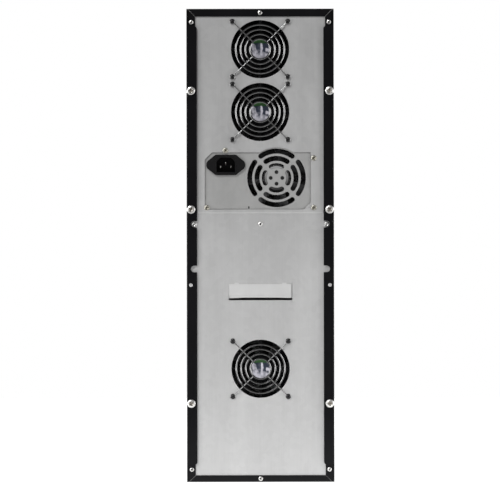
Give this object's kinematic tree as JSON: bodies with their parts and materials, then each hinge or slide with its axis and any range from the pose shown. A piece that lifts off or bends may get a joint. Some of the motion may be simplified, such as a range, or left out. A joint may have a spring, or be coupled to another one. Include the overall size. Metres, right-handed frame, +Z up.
{
  "type": "disc duplicator tower",
  "caption": "Tall disc duplicator tower: a black sheet-steel case with a stack of tray drives, a button controller, a power supply with mains inlet and guarded rear fans.",
  "frame": {"origin": "middle of the base, at the surface that the tower stands on", "axes": "+Z up, -Y towards the front with the drives, +Y towards the rear with the fans, +X to the right seen from the front"},
  "size_m": [0.19, 0.38, 0.61],
  "materials": {
    "black_powder_coat": "fine-textured satin powder coat",
    "galvanised_steel": "satin galvanised sheet with a faint lengthwise grain",
    "satin_steel": "plain satin sheet steel",
    "black_moulding": "fine moulded texture",
    "drive_grey": "moulded front plate, satin metal can behind it",
    "tray_black": "moulded plastic",
    "button_black": "smooth moulded plastic",
    "display_blue": "clear gloss over a blue display",
    "fan_black": "moulded plastic",
    "bright_wire": "bright zinc-plated wire",
    "inlet_black": "smooth moulded plastic"
  },
  "bodies": {
    "tower": {"chassis_frame": "black_powder_coat", "left_side_cover": "black_powder_coat", "right_side_cover": "black_powder_coat", "rear_panel_upper": "galvanised_steel", "rear_panel_lower": "galvanised_steel", "front_bezel": "black_moulding", "drive_cage": "galvanised_steel", "controller_unit": "drive_grey", "lcd_window": "display_blue", "supply_case": "satin_steel", "supply_fan_housing": "fan_black", "mains_inlet": "inlet_black", "top_fan_housing": "fan_black", "middle_fan_housing": "fan_black", "bottom_fan_housing": "fan_black", "top_fan_guard": "bright_wire", "middle_fan_guard": "bright_wire", "bottom_fan_guard": "bright_wire", "drive_01_body": "drive_grey", "drive_02_body": "drive_grey", "drive_03_body": "drive_grey", "drive_04_body": "drive_grey", "drive_05_body": "drive_grey", "drive_06_body": "drive_grey", "drive_07_body": "drive_grey", "drive_08_body": "drive_grey", "drive_09_body": "drive_grey", "drive_10_body": "drive_grey", "drive_11_body": "drive_grey"},
    "top_fan_rotor": {"top_fan_rotor": "fan_black"},
    "middle_fan_rotor": {"middle_fan_rotor": "fan_black"},
    "bottom_fan_rotor": {"bottom_fan_rotor": "fan_black"},
    "supply_fan_rotor": {"supply_fan_rotor": "fan_black"},
    "drive_01_tray": {"drive_01_tray": "tray_black"},
    "drive_02_tray": {"drive_02_tray": "tray_black"},
    "drive_03_tray": {"drive_03_tray": "tray_black"},
    "drive_04_tray": {"drive_04_tray": "tray_black"},
    "drive_05_tray": {"drive_05_tray": "tray_black"},
    "drive_06_tray": {"drive_06_tray": "tray_black"},
    "drive_07_tray": {"drive_07_tray": "tray_black"},
    "drive_08_tray": {"drive_08_tray": "tray_black"},
    "drive_09_tray": {"drive_09_tray": "tray_black"},
    "drive_10_tray": {"drive_10_tray": "tray_black"},
    "drive_11_tray": {"drive_11_tray": "tray_black"},
    "drive_01_eject_button": {"drive_01_eject_button": "button_black"},
    "drive_02_eject_button": {"drive_02_eject_button": "button_black"},
    "drive_03_eject_button": {"drive_03_eject_button": "button_black"},
    "drive_04_eject_button": {"drive_04_eject_button": "button_black"},
    "drive_05_eject_button": {"drive_05_eject_button": "button_black"},
    "drive_06_eject_button": {"drive_06_eject_button": "button_black"},
    "drive_07_eject_button": {"drive_07_eject_button": "button_black"},
    "drive_08_eject_button": {"drive_08_eject_button": "button_black"},
    "drive_09_eject_button": {"drive_09_eject_button": "button_black"},
    "drive_10_eject_button": {"drive_10_eject_button": "button_black"},
    "drive_11_eject_button": {"drive_11_eject_button": "button_black"},
    "up_button": {"up_button": "button_black"},
    "down_button": {"down_button": "button_black"},
    "enter_button": {"enter_button": "button_black"},
    "escape_button": {"escape_button": "button_black"},
    "power_button": {"power_button": "button_black"}
  },
  "joints": [
    {"name": "top_fan_spin", "type": "hinge", "parent": "tower", "child": "top_fan_rotor", "pos_m": [0, 0.1861, 0.558], "axis": [0, 1, 0], "continuous": true},
    {"name": "middle_fan_spin", "type": "hinge", "parent": "tower", "child": "middle_fan_rotor", "pos_m": [0, 0.1861, 0.477], "axis": [0, 1, 0], "continuous": true},
    {"name": "bottom_fan_spin", "type": "hinge", "parent": "tower", "child": "bottom_fan_rotor", "pos_m": [0, 0.1861, 0.14578], "axis": [0, 1, 0], "continuous": true},
    {"name": "supply_fan_spin", "type": "hinge", "parent": "tower", "child": "supply_fan_rotor", "pos_m": [-0.021, 0.1848, 0.392], "axis": [0, 1, 0], "continuous": true},
    {"name": "drive_01_tray_slide", "type": "slide", "parent": "tower", "child": "drive_01_tray", "axis": [0, -1, 0], "range_m": [0, 0.13]},
    {"name": "drive_02_tray_slide", "type": "slide", "parent": "tower", "child": "drive_02_tray", "axis": [0, -1, 0], "range_m": [0, 0.13]},
    {"name": "drive_03_tray_slide", "type": "slide", "parent": "tower", "child": "drive_03_tray", "axis": [0, -1, 0], "range_m": [0, 0.13]},
    {"name": "drive_04_tray_slide", "type": "slide", "parent": "tower", "child": "drive_04_tray", "axis": [0, -1, 0], "range_m": [0, 0.13]},
    {"name": "drive_05_tray_slide", "type": "slide", "parent": "tower", "child": "drive_05_tray", "axis": [0, -1, 0], "range_m": [0, 0.13]},
    {"name": "drive_06_tray_slide", "type": "slide", "parent": "tower", "child": "drive_06_tray", "axis": [0, -1, 0], "range_m": [0, 0.13]},
    {"name": "drive_07_tray_slide", "type": "slide", "parent": "tower", "child": "drive_07_tray", "axis": [0, -1, 0], "range_m": [0, 0.13]},
    {"name": "drive_08_tray_slide", "type": "slide", "parent": "tower", "child": "drive_08_tray", "axis": [0, -1, 0], "range_m": [0, 0.13]},
    {"name": "drive_09_tray_slide", "type": "slide", "parent": "tower", "child": "drive_09_tray", "axis": [0, -1, 0], "range_m": [0, 0.13]},
    {"name": "drive_10_tray_slide", "type": "slide", "parent": "tower", "child": "drive_10_tray", "axis": [0, -1, 0], "range_m": [0, 0.13]},
    {"name": "drive_11_tray_slide", "type": "slide", "parent": "tower", "child": "drive_11_tray", "axis": [0, -1, 0], "range_m": [0, 0.13]},
    {"name": "drive_01_eject_button_press", "type": "slide", "parent": "tower", "child": "drive_01_eject_button", "axis": [0, 1, 0], "range_m": [0, 0.0012], "stiffness_N_per_m": 500},
    {"name": "drive_02_eject_button_press", "type": "slide", "parent": "tower", "child": "drive_02_eject_button", "axis": [0, 1, 0], "range_m": [0, 0.0012], "stiffness_N_per_m": 500},
    {"name": "drive_03_eject_button_press", "type": "slide", "parent": "tower", "child": "drive_03_eject_button", "axis": [0, 1, 0], "range_m": [0, 0.0012], "stiffness_N_per_m": 500},
    {"name": "drive_04_eject_button_press", "type": "slide", "parent": "tower", "child": "drive_04_eject_button", "axis": [0, 1, 0], "range_m": [0, 0.0012], "stiffness_N_per_m": 500},
    {"name": "drive_05_eject_button_press", "type": "slide", "parent": "tower", "child": "drive_05_eject_button", "axis": [0, 1, 0], "range_m": [0, 0.0012], "stiffness_N_per_m": 500},
    {"name": "drive_06_eject_button_press", "type": "slide", "parent": "tower", "child": "drive_06_eject_button", "axis": [0, 1, 0], "range_m": [0, 0.0012], "stiffness_N_per_m": 500},
    {"name": "drive_07_eject_button_press", "type": "slide", "parent": "tower", "child": "drive_07_eject_button", "axis": [0, 1, 0], "range_m": [0, 0.0012], "stiffness_N_per_m": 500},
    {"name": "drive_08_eject_button_press", "type": "slide", "parent": "tower", "child": "drive_08_eject_button", "axis": [0, 1, 0], "range_m": [0, 0.0012], "stiffness_N_per_m": 500},
    {"name": "drive_09_eject_button_press", "type": "slide", "parent": "tower", "child": "drive_09_eject_button", "axis": [0, 1, 0], "range_m": [0, 0.0012], "stiffness_N_per_m": 500},
    {"name": "drive_10_eject_button_press", "type": "slide", "parent": "tower", "child": "drive_10_eject_button", "axis": [0, 1, 0], "range_m": [0, 0.0012], "stiffness_N_per_m": 500},
    {"name": "drive_11_eject_button_press", "type": "slide", "parent": "tower", "child": "drive_11_eject_button", "axis": [0, 1, 0], "range_m": [0, 0.0012], "stiffness_N_per_m": 500},
    {"name": "up_button_press", "type": "slide", "parent": "tower", "child": "up_button", "axis": [0, 1, 0], "range_m": [0, 0.0012], "stiffness_N_per_m": 500},
    {"name": "down_button_press", "type": "slide", "parent": "tower", "child": "down_button", "axis": [0, 1, 0], "range_m": [0, 0.0012], "stiffness_N_per_m": 500},
    {"name": "enter_button_press", "type": "slide", "parent": "tower", "child": "enter_button", "axis": [0, 1, 0], "range_m": [0, 0.0012], "stiffness_N_per_m": 500},
    {"name": "escape_button_press", "type": "slide", "parent": "tower", "child": "escape_button", "axis": [0, 1, 0], "range_m": [0, 0.0012], "stiffness_N_per_m": 500},
    {"name": "power_button_press", "type": "slide", "parent": "tower", "child": "power_button", "axis": [0, 1, 0], "range_m": [0, 0.0012], "stiffness_N_per_m": 500}
  ]
}
